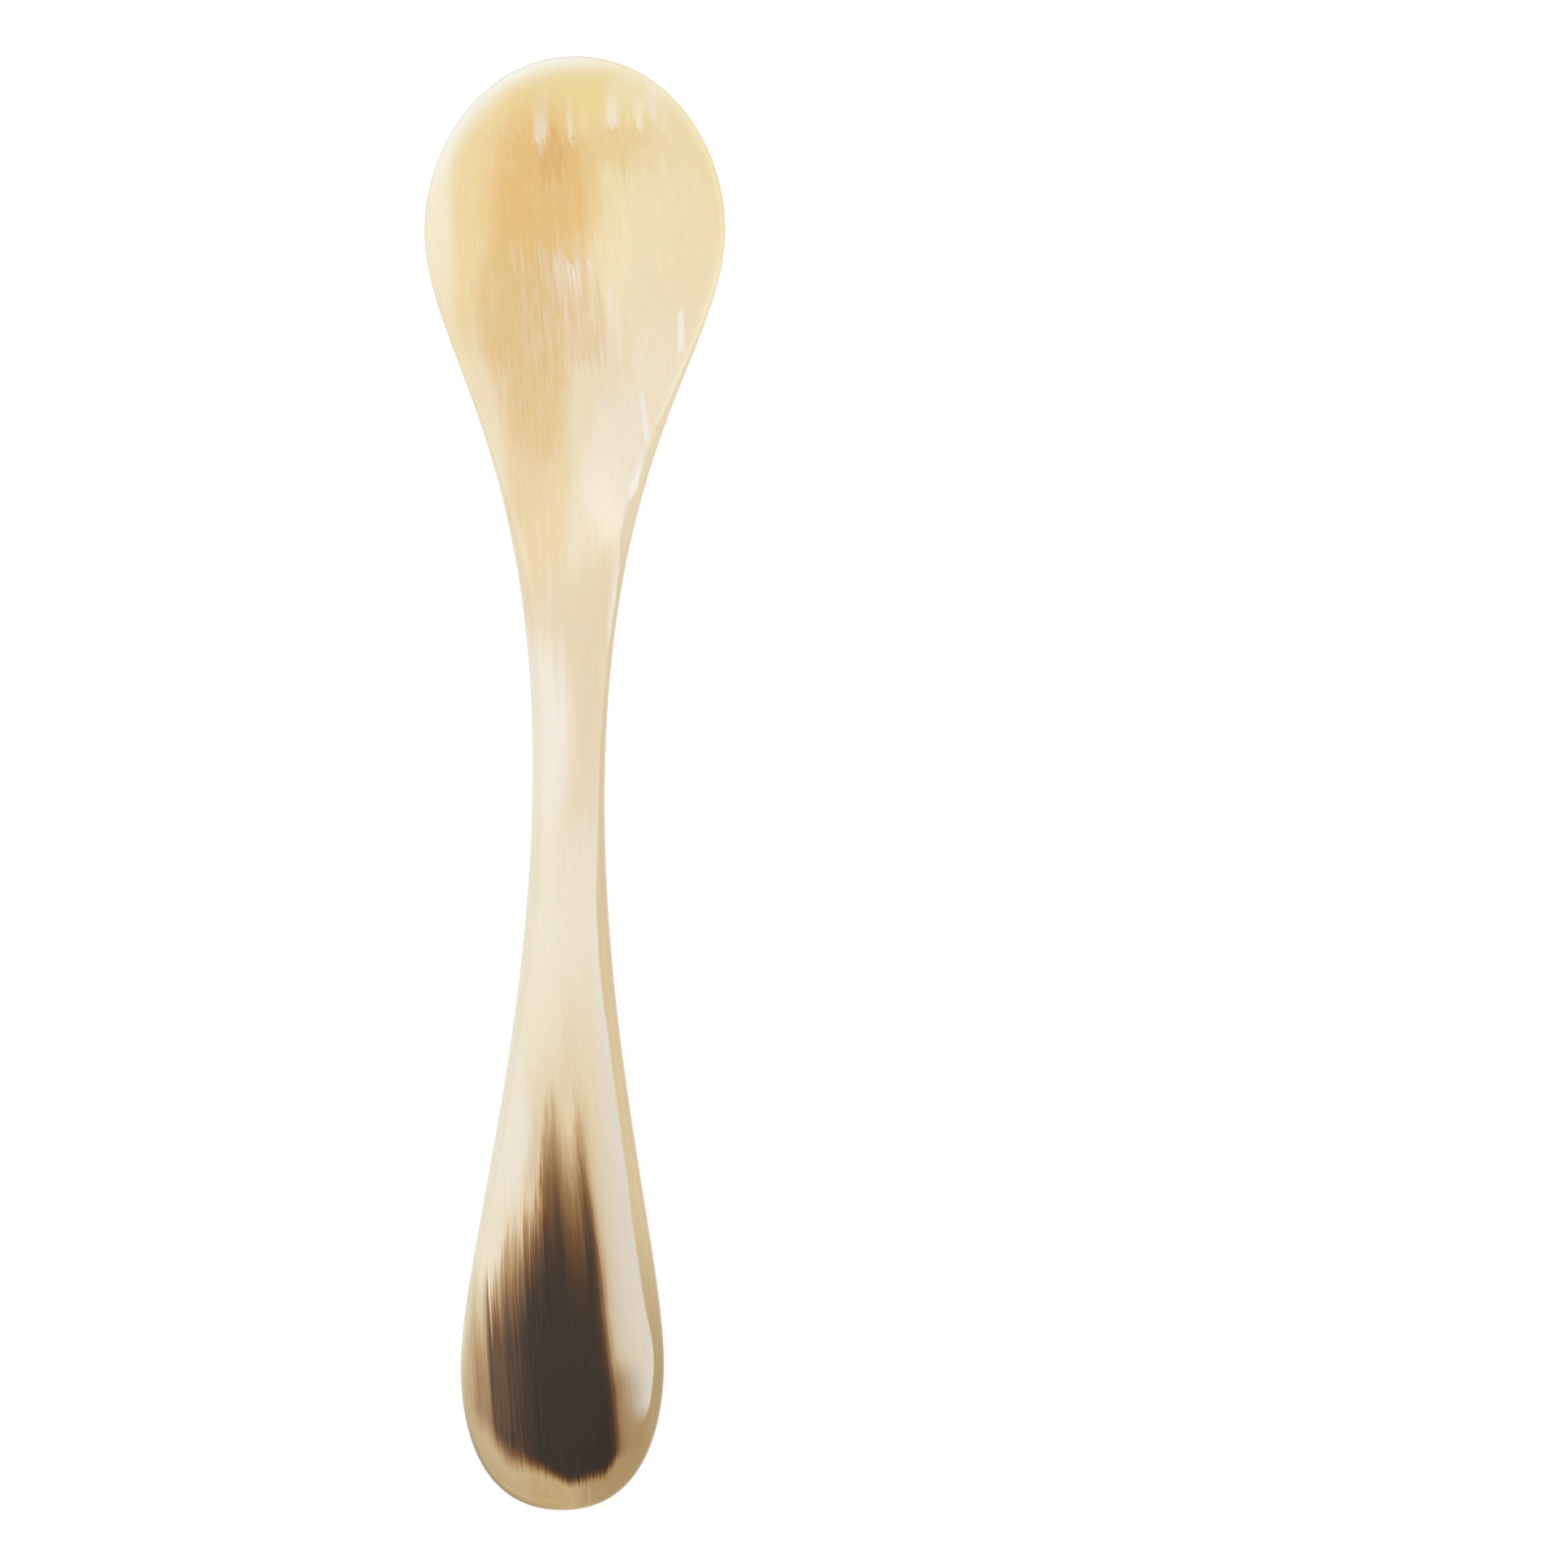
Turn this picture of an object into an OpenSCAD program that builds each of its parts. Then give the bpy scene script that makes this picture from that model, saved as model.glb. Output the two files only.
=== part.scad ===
// Caviar spoon carved and bent from one piece of horn, lying on its back.
// It is one solid: an oval bowl, a slim neck and a paddle-shaped handle.
// X runs across, Y along with the bowl towards +Y, and Z up from the table.
// Lengths along the spoon are counted from the tip of the bowl.

/* [Outline] */
// Length over all, from the tip of the bowl to the end of the handle
spoon_l = 130; // [120:1:150]
// Width of the bowl at its widest place
bowl_w = 26.9; // [22:0.1:32]
// Distance from the tip to the widest place of the bowl
bowl_widest = 15.5; // [13:0.5:18]
// How full the round of the tip is, from pointed to square
tip_fullness = 0.62; // [0.5:0.01:0.8]
// Width of the neck at its slimmest place
neck_w = 6.5; // [5:0.1:9]
// Distance from the tip to the slimmest place of the neck
neck_at = 65; // [58:1:72]
// Width of the handle at its widest place
handle_w = 18.2; // [14:0.1:22]
// Distance from the end to the widest place of the handle
handle_widest = 12.9; // [10:0.1:18]
// How full the round of the end is, from pointed to square
end_fullness = 0.92; // [0.7:0.01:0.97]

/* [Thickness] */
// Wall of the bowl
bowl_t = 2; // [1.6:0.1:2.6]
// Thickness of the neck at its sides
neck_t = 3.3; // [2.6:0.1:4.4]
// Thickness of the handle at its sides
handle_t = 2.8; // [2.2:0.1:3.6]
// Swell of the upper face over the neck and the handle
crown = 0.5; // [0.1:0.1:1]
// Width of the rounded edge that runs all the way round
edge_r = 1.1; // [0.8:0.1:1.6]
// Width that the same edge grows to at the end of the handle
end_edge_r = 2.2; // [1.2:0.1:3]

/* [Side view] */
// Depth of the bowl below its lip
bowl_depth = 6; // [4.5:0.1:7]
// Distance from the tip to the deepest place of the bowl
deepest_at = 13; // [11:0.5:18]
// Distance from the tip to the place where the hollow runs out on the neck
hollow_end = 50; // [44:1:56]
// How much the lip rises towards the tip
tip_lift = 0.6; // [0.1:0.1:2]
// Height of the underside of the neck above the table
neck_rise = 5; // [3:0.5:9]
// Length of the flat under the end of the handle
heel_l = 20; // [15:1:30]

/* [Hidden] */

// Half widths of the three places that the outline is drawn through
bowl_half = bowl_w / 2;
neck_half = neck_w / 2;
handle_half = handle_w / 2;
handle_widest_at = spoon_l - handle_widest;

// Lengths of the curves' arms, as shares of their stretch. The arms on the far side
// of each place follow from them, so that the curvature runs through without a jump.
tip_arm_share = 0.478;
bowl_arm_share = 0.623;
handle_arm_share = 0.182;
tip_arm = tip_arm_share * bowl_widest;
tip_round = tip_fullness * bowl_half;
shoulder_arm = tip_arm * sqrt((bowl_half - neck_half) / (bowl_half - tip_round));
neck_arm = bowl_arm_share * (neck_at - bowl_widest);
waist_arm = neck_arm * sqrt((handle_half - neck_half) / (bowl_half - neck_half));
handle_arm = handle_arm_share * (handle_widest_at - neck_at);
end_round = end_fullness * handle_half;
end_arm = handle_arm * sqrt((handle_half - end_round) / (handle_half - neck_half));

// Four curves from the tip to the end. Each point is [half width, distance from the tip].
outline_curves = [
    [[0, 0], [tip_round, 0], [bowl_half, bowl_widest - tip_arm], [bowl_half, bowl_widest]],
    [[bowl_half, bowl_widest], [bowl_half, bowl_widest + shoulder_arm],
     [neck_half, neck_at - neck_arm], [neck_half, neck_at]],
    [[neck_half, neck_at], [neck_half, neck_at + waist_arm],
     [handle_half, handle_widest_at - handle_arm], [handle_half, handle_widest_at]],
    [[handle_half, handle_widest_at], [handle_half, handle_widest_at + end_arm],
     [end_round, spoon_l], [0, spoon_l]]
];

// Stations on each curve, and how many at either end share one point of the spine
curve_steps = [20, 22, 22, 16];
fan_steps = 8;

// Steps across each rounded edge and across each face
edge_steps = 5;
face_steps = 8;

// Shape of the hollow's wall from the lip to the bottom: soft shoulder, flat bottom
shoulder_power = 1.08;
wall_power = 2.4;

// Shape of the rounded edge's section. 2 is an ellipse, and more is squarer.
edge_squareness = 2.6;

function bezier(p, u) =
    pow(1 - u, 3) * p[0] + 3 * u * pow(1 - u, 2) * p[1] + 3 * u * u * (1 - u) * p[2] + pow(u, 3) * p[3];

function bezier_slope(p, u) =
    pow(1 - u, 2) * (p[1] - p[0]) + 2 * u * (1 - u) * (p[2] - p[1]) + u * u * (p[3] - p[2]);

// Stations of the right-hand outline, and the outward direction at each
stations = concat(
    [for (c = [0:3]) for (s = [0:curve_steps[c] - 1]) bezier(outline_curves[c], s / curve_steps[c])],
    [[0, spoon_l]]
);
slopes = concat(
    [for (c = [0:3]) for (s = [0:curve_steps[c] - 1]) bezier_slope(outline_curves[c], s / curve_steps[c])],
    [[-1, 0]]
);
outward = [for (d = slopes) [d[1], -d[0]] / norm(d)];

last_station = len(stations) - 1;
last_fan = last_station - fan_steps;
around = 2 * last_station;

// Smooth step from a to b while t runs between two distances
function ease(u) = let (v = min(max(u, 0), 1)) v * v * (3 - 2 * v);
function between(a, b, from, to, t) = a + (b - a) * ease((t - from) / (to - from));

// Thickness at a distance from the tip, without the crown
function thickness(t) =
    t < neck_at ? between(bowl_t, neck_t, deepest_at, neck_at, t)
                : between(neck_t, handle_t, neck_at, spoon_l - heel_l, t);

// Height of the middle of the wall at the outline. The deepest place of the bowl
// and the flat of the heel come to lie on the table.
lip_z = bowl_depth + bowl_t / 2;
neck_z = neck_rise + neck_t / 2;
function middle_z(t) =
    t < deepest_at ? between(lip_z + tip_lift, lip_z, 0, deepest_at, t)
    : t < neck_at ? between(lip_z, neck_z, deepest_at, neck_at, t)
    : between(neck_z, handle_t / 2, neck_at, spoon_l - heel_l, t);

// How much of the hollow is left at a distance from the tip: all of it, then none
function hollow_share(t) = between(1, 0, deepest_at, hollow_end, t);

// Width of the rounded edge at a distance from the tip
function edge_width(t) = between(edge_r, end_edge_r, spoon_l - heel_l, spoon_l, t);

// Share of the full depth on the way from the outline, 0, to the spine, 1
function wall_share(way) = 1 - pow(1 - pow(way, shoulder_power), wall_power);
function swell_share(way) = 1 - pow(1 - way, 2);

// Place on the middle line that a station is joined to. The stations round the tip share
// the deepest place, those round the end share one place too, and towards the neck the
// joining lines turn square to the length.
function spine_from(t, first, centre, reach) =
    let (lead = centre + norm([t - first, centre - first]) - (centre - first) - t)
    t + lead * (1 - ease((t - first) / (reach - first)));

tip_fan_t = stations[fan_steps][1];
end_fan_t = spoon_l - stations[last_fan][1];
function spine_t(k) =
    let (t = stations[k][1])
    k <= fan_steps ? deepest_at
    : k >= last_fan ? spoon_l - handle_widest
    : t < neck_at ? spine_from(t, tip_fan_t, deepest_at, neck_at)
    : spoon_l - spine_from(spoon_l - t, end_fan_t, handle_widest, spoon_l - neck_at);

// Point of the surface at station k. rho goes from the lip to the spine, and turn
// goes round the edge from the upper face, 90, to the underside, -90. The edge sinks
// along with the wall, so that it runs on into both faces without a crease.
function surface_point(k, side, rho, turn) =
    let (power = 2 / edge_squareness)
    let (inset = edge_width(stations[k][1]) * (1 - pow(max(cos(turn), 0), power)))
    let (lift = sign(turn) * pow(abs(sin(turn)), power))
    let (centre = [0, spine_t(k)])
    let (rim = stations[k] - inset * outward[k])
    let (place = rim + (centre - rim) * rho)
    let (way = 1 - (1 - rho) * (1 - inset / norm(centre - stations[k])))
    let (hollow = hollow_share(place[1]))
    let (dish = bowl_depth * hollow * wall_share(way))
    let (swell = turn > 0 ? crown * (1 - hollow) * swell_share(way) : 0)
    let (z = middle_z(place[1]) - dish + lift * thickness(place[1]) / 2 + swell)
    [side * place[0], spoon_l / 2 - place[1], z];

// Closed rings of points, from the middle of the upper face over the edge to the
// middle of the underside, as [rho, turn]
rings = concat(
    [for (m = [face_steps - 1:-1:1]) [m / face_steps, 90]],
    [for (e = [edge_steps:-1:-edge_steps]) [0, 90 * e / edge_steps]],
    [for (m = [1:face_steps - 1]) [m / face_steps, -90]]
);

function station_of(i) = min(i, around - i);
function side_of(i) = i <= last_station ? 1 : -1;

ring_points = [
    for (r = rings) for (i = [0:around - 1]) surface_point(station_of(i), side_of(i), r[0], r[1])
];
upper_spine = [for (k = [fan_steps:last_fan]) surface_point(k, 0, 1, 90)];
lower_spine = [for (k = [fan_steps:last_fan]) surface_point(k, 0, 1, -90)];

// Numbers of the points on the rings and on the two spines
function ring_at(r, i) = r * around + i % around;
function spine_at(i, first) = first + min(max(station_of(i % around), fan_steps), last_fan) - fan_steps;
first_upper = len(ring_points);
first_lower = first_upper + len(upper_spine);

// Two triangles, split the same way on the left as on the right
function four_sided(a, b, c, d, side) = side > 0 ? [[a, c, b], [a, d, c]] : [[a, d, b], [b, d, c]];
function is_triangle(f) = f[0] != f[1] && f[1] != f[2] && f[2] != f[0];

all_faces = concat(
    [for (r = [0:len(rings) - 2]) for (i = [0:around - 1])
        each four_sided(ring_at(r, i), ring_at(r, i + 1), ring_at(r + 1, i + 1), ring_at(r + 1, i),
            side_of(i + 0.5))],
    [for (i = [0:around - 1])
        each four_sided(spine_at(i, first_upper), spine_at(i + 1, first_upper), ring_at(0, i + 1),
            ring_at(0, i), side_of(i + 0.5))],
    [for (i = [0:around - 1])
        each four_sided(ring_at(len(rings) - 1, i), ring_at(len(rings) - 1, i + 1),
            spine_at(i + 1, first_lower), spine_at(i, first_lower), side_of(i + 0.5))]
);

// The whole spoon as one closed skin
module spoon() {
    color("wheat")
        polyhedron(points = concat(ring_points, upper_spine, lower_spine),
            faces = [for (f = all_faces) if (is_triangle(f)) f], convexity = 4);
}

spoon();
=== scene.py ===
import math

import bpy
import numpy as np
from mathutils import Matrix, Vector


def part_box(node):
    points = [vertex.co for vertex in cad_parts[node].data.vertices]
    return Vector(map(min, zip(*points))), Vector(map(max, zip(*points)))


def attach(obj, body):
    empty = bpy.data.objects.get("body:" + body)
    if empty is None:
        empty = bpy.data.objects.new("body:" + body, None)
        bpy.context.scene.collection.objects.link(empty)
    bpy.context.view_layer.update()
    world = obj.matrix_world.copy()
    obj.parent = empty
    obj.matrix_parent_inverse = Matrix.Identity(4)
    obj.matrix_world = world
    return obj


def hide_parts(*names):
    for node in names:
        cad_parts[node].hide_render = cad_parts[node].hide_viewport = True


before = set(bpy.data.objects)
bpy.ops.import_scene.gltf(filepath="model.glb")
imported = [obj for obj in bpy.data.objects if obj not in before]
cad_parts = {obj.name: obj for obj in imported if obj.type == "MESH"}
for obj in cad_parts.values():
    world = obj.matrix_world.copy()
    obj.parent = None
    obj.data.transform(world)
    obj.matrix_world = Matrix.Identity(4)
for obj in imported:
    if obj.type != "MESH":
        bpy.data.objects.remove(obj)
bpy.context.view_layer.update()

mm = 0.001
spoonLow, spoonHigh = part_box("spoon")
spoonLength = (spoonHigh[1] - spoonLow[1]) / mm
tipY = spoonHigh[1] / mm

scene = bpy.context.scene
scene.view_settings.view_transform = "Standard"


# Form of the spoon. Lengths along it are counted from the tip of the bowl, in mm.

form = {
    "bowlHalf": (spoonHigh[0] - spoonLow[0]) / mm / 2,
    "bowlWidest": 15.5,
    "tipFullness": 0.62,
    "neckHalf": 3.25,
    "neckAt": 65.0,
    "handleHalf": 9.1,
    "handleWidest": 12.9,        # from the end
    "endFullness": 0.92,
    "bowlThick": 2.0,
    "neckThick": 3.3,
    "handleThick": 2.8,
    "crown": 0.5,
    "edgeRound": 1.1,
    "endEdgeRound": 2.2,
    "edgeSquareness": 2.6,       # 2 is an ellipse
    "bowlDepth": 6.0,
    "deepestAt": 13.0,
    "hollowEnd": 50.0,
    "tipLift": 0.6,
    "neckRise": 5.0,
    "heelLength": 20.0,
    "shoulderPower": 1.08,
    "wallPower": 2.4,            # 2 is a parabola, more has a flatter bottom
    "tipArmShare": 0.478,
    "bowlArmShare": 0.623,
    "handleArmShare": 0.182,
    "curveSteps": [60, 66, 66, 48],
    "fanSteps": 24,
    "edgeSteps": 12,
    "faceSteps": 30,
}


def ease(u):
    # cubic smooth step: 3v^2 - 2v^3, with v the share held between 0 and 1
    v = np.clip(u, 0, 1)
    return v * v * (3 - 2 * v)


def between(a, b, start, stop, t):
    # a before start, b after stop, and a smooth step from one to the other while t is between
    return a + (b - a) * ease((t - start) / (stop - start))


def outlineStations(f):
    # Four cubic curves from the tip to the end, P = sum of Bernstein weights times the
    # four points, and the outward direction, the slope turned by a right angle.
    bowlHalf, neckHalf, handleHalf = f["bowlHalf"], f["neckHalf"], f["handleHalf"]
    bowlAt, neckAt, handleAt = f["bowlWidest"], f["neckAt"], spoonLength - f["handleWidest"]
    tipRound, endRound = f["tipFullness"] * bowlHalf, f["endFullness"] * handleHalf
    tipArm = f["tipArmShare"] * bowlAt
    neckArm = f["bowlArmShare"] * (neckAt - bowlAt)
    handleArm = f["handleArmShare"] * (handleAt - neckAt)
    shoulderArm = tipArm * math.sqrt((bowlHalf - neckHalf) / (bowlHalf - tipRound))
    waistArm = neckArm * math.sqrt((handleHalf - neckHalf) / (bowlHalf - neckHalf))
    endArm = handleArm * math.sqrt((handleHalf - endRound) / (handleHalf - neckHalf))
    curves = np.array([
        [[0, 0], [tipRound, 0], [bowlHalf, bowlAt - tipArm], [bowlHalf, bowlAt]],
        [[bowlHalf, bowlAt], [bowlHalf, bowlAt + shoulderArm],
         [neckHalf, neckAt - neckArm], [neckHalf, neckAt]],
        [[neckHalf, neckAt], [neckHalf, neckAt + waistArm],
         [handleHalf, handleAt - handleArm], [handleHalf, handleAt]],
        [[handleHalf, handleAt], [handleHalf, handleAt + endArm],
         [endRound, spoonLength], [0, spoonLength]],
    ])
    u = np.concatenate([c + np.arange(n) / n for c, n in enumerate(f["curveSteps"])] + [[4.0]])
    which = np.minimum(u.astype(int), 3)
    u = (u - which)[:, None]
    a, b, c, d = (curves[which][:, i] for i in range(4))
    place = (1 - u) ** 3 * a + 3 * u * (1 - u) ** 2 * b + 3 * u * u * (1 - u) * c + u ** 3 * d
    slope = (1 - u) ** 2 * (b - a) + 2 * u * (1 - u) * (c - b) + u * u * (d - c)
    outward = np.stack([slope[:, 1], -slope[:, 0]], axis=1)
    return place, outward / np.linalg.norm(outward, axis=1, keepdims=True)


def spineFrom(t, first, centre, reach):
    # distance t moved on by a hyperbola's lead over its slanting line, faded out at reach
    side = centre - first
    lead = centre + np.hypot(t - first, side) - side - t
    return t + lead * (1 - ease((t - first) / (reach - first)))


def spineStations(t, f):
    # the place on the middle line that each station is joined to
    last = len(t) - 1
    firstTip, firstEnd = t[f["fanSteps"]], spoonLength - t[last - f["fanSteps"]]
    fromTip = spineFrom(t, firstTip, f["deepestAt"], f["neckAt"])
    toNeck = spoonLength - f["neckAt"]
    fromEnd = spoonLength - spineFrom(spoonLength - t, firstEnd, f["handleWidest"], toNeck)
    spine = np.where(t < f["neckAt"], fromTip, fromEnd)
    spine[:f["fanSteps"] + 1] = f["deepestAt"]
    spine[last - f["fanSteps"]:] = spoonLength - f["handleWidest"]
    return spine


def makeSpoonMesh(name, f):
    # A grid of stations round the outline and rings across the section. A point is the
    # outline moved inward by e = r(1 - cos a ^ q), q being 2 / edgeSquareness, and then on to
    # the spine by the share rho. With w = 1 - (1 - rho)(1 - e / run), its height is the wall's
    # middle, less depth * hollow * (1 - (1 - w^p)^m), plus sin a ^ q * thickness / 2, and on
    # the upper face plus crown * (1 - hollow) * (1 - (1 - w)^2).
    outline, outward = outlineStations(f)
    last = len(outline) - 1
    around = 2 * last
    station = np.minimum(np.arange(around), around - np.arange(around))
    side = np.where(np.arange(around) <= last, 1.0, -1.0)
    rimPoint, spine = outline[station], spineStations(outline[:, 1], f)[station]
    centre = np.stack([np.zeros(around), spine], axis=1)
    run = np.linalg.norm(centre - rimPoint, axis=1)

    inner = np.arange(f["faceSteps"] - 1, 0, -1) / f["faceSteps"]
    turn = np.linspace(math.pi / 2, -math.pi / 2, 2 * f["edgeSteps"] + 1)
    power = 2 / f["edgeSquareness"]
    lift = np.sign(turn) * np.abs(np.sin(turn)) ** power
    inset = 1 - np.clip(np.cos(turn), 0, 1) ** power
    flat = np.ones(len(inner) + 1)
    rho = np.concatenate([[1.0], inner, np.zeros(len(turn)), inner[::-1], [1.0]])[:, None]
    lift = np.concatenate([flat, lift, -flat])[:, None]
    inset = np.concatenate([flat, inset, flat])[:, None]

    endAt = spoonLength - f["heelLength"]
    edge = inset * between(f["edgeRound"], f["endEdgeRound"], endAt, spoonLength, rimPoint[:, 1])
    rim = rimPoint - edge[..., None] * outward[station]
    place = rim + (centre - rim) * rho[..., None]
    across, t = place[..., 0] * side, place[..., 1]

    thick = np.where(t < f["neckAt"],
                     between(f["bowlThick"], f["neckThick"], f["deepestAt"], f["neckAt"], t),
                     between(f["neckThick"], f["handleThick"], f["neckAt"], endAt, t))
    lipZ = f["bowlDepth"] + f["bowlThick"] / 2
    neckZ = f["neckRise"] + f["neckThick"] / 2
    middle = np.where(t < f["deepestAt"], between(lipZ + f["tipLift"], lipZ, 0, f["deepestAt"], t),
                      np.where(t < f["neckAt"], between(lipZ, neckZ, f["deepestAt"], f["neckAt"], t),
                               between(neckZ, f["handleThick"] / 2, f["neckAt"], endAt, t)))
    hollow = between(1, 0, f["deepestAt"], f["hollowEnd"], t)
    way = 1 - (1 - rho) * (1 - edge / run)
    wall = 1 - (1 - way ** f["shoulderPower"]) ** f["wallPower"]
    z = middle - f["bowlDepth"] * hollow * wall + lift * thick / 2
    z = z + np.where(lift > 0, f["crown"] * (1 - hollow) * (1 - (1 - way) ** 2), 0)

    points = np.stack([across, tipY - t, z], axis=-1) * mm
    # for the horn: 0 on the upper face to 1 on the underside, and mm from the outline
    underSide = np.broadcast_to((1 - lift) / 2, t.shape)
    marks = {"underSide": underSide, "fromRim": edge + rho * (run - edge)}

    # numbers of the points: the stations in a fan, and both sides of the spine, share one
    rings = len(rho)
    number = np.arange(rings * around).reshape(rings, around)
    shared = np.clip(station, f["fanSteps"], last - f["fanSteps"])
    number[0], number[-1] = number[0][shared], number[-1][shared]
    nextNumber = np.roll(number, -1, axis=1)
    quads = np.stack([number[:-1], number[1:], nextNumber[1:], nextNumber[:-1]], axis=-1).reshape(-1, 4)
    keep, short = np.unique(quads, return_inverse=True)
    faces = [list(dict.fromkeys(q)) for q in short.reshape(quads.shape).tolist()]

    mesh = bpy.data.meshes.new(name)
    mesh.from_pydata(points.reshape(-1, 3)[keep], [], [q for q in faces if len(q) > 2])
    mesh.polygons.foreach_set("use_smooth", np.ones(len(mesh.polygons), dtype=bool))
    for mark, value in marks.items():
        layer = mesh.attributes.new(mark, "FLOAT", "POINT")
        layer.data.foreach_set("value", value.reshape(-1)[keep].astype(np.float32))
    mesh.update()
    return mesh


spoonPiece = bpy.data.objects.new("horn_spoon", makeSpoonMesh("horn_spoon", form))
scene.collection.objects.link(spoonPiece)
print("spoon:", len(spoonPiece.data.vertices), "points,", len(spoonPiece.data.polygons), "faces")


# Short ways to add shader nodes

def addNode(tree, kind, **settings):
    node = tree.nodes.new(kind)
    for key, value in settings.items():
        setattr(node, key, value)
    return node


def plug(tree, socket, value):
    if isinstance(value, bpy.types.NodeSocket):
        tree.links.new(value, socket)
    elif value is not None:
        socket.default_value = value


def calc(tree, operation, a, b=None, c=None):
    node = addNode(tree, "ShaderNodeMath", operation=operation)
    for socket, value in zip(node.inputs, (a, b, c)):
        plug(tree, socket, value)
    return node.outputs[0]


def softStep(tree, value, low, high, lowOut=0.0, highOut=1.0):
    # smooth step from lowOut to highOut while the value goes from low to high
    node = addNode(tree, "ShaderNodeMapRange", interpolation_type="SMOOTHSTEP")
    for socket, item in zip(node.inputs, (value, low, high, lowOut, highOut)):
        plug(tree, socket, item)
    return node.outputs[0]


def mixColour(tree, share, a, b):
    node = addNode(tree, "ShaderNodeMix", data_type="RGBA")
    plug(tree, node.inputs["Factor"], share)
    plug(tree, node.inputs[6], a)
    plug(tree, node.inputs[7], b)
    return node.outputs[2]


def byPlace(tree, value, low, high, stops, handles="VECTOR"):
    # a curve: stops are (place, height) pairs, heights within low to high
    node = addNode(tree, "ShaderNodeFloatCurve")
    first, last = stops[0][0], stops[-1][0]
    curve = node.mapping.curves[0]
    while len(curve.points) < len(stops):
        curve.points.new(0.5, 0.5)
    for point, (place, height) in zip(curve.points, stops):
        point.location = ((place - first) / (last - first), (height - low) / (high - low))
        point.handle_type = handles
    node.mapping.update()
    share = calc(tree, "MULTIPLY_ADD", value, 1 / (last - first), -first / (last - first))
    plug(tree, node.inputs["Value"], share)
    return calc(tree, "MULTIPLY_ADD", node.outputs[0], high - low, low)


def colour(red, green, blue):
    # a colour as a picture program shows it, made linear
    srgb = np.array([red, green, blue]) / 255
    linear = np.where(srgb <= 0.04045, srgb / 12.92, ((srgb + 0.055) / 1.055) ** 2.4)
    return (*linear.tolist(), 1.0)


# Look of the horn. Places across and along are in mm from the middle line and from the tip. A
# pair such as (26, 16) is a soft step: nothing at the first place, all of it at the second. Two
# more numbers after the pair are the shares at either place, where they aren't 0 and 1.

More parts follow.
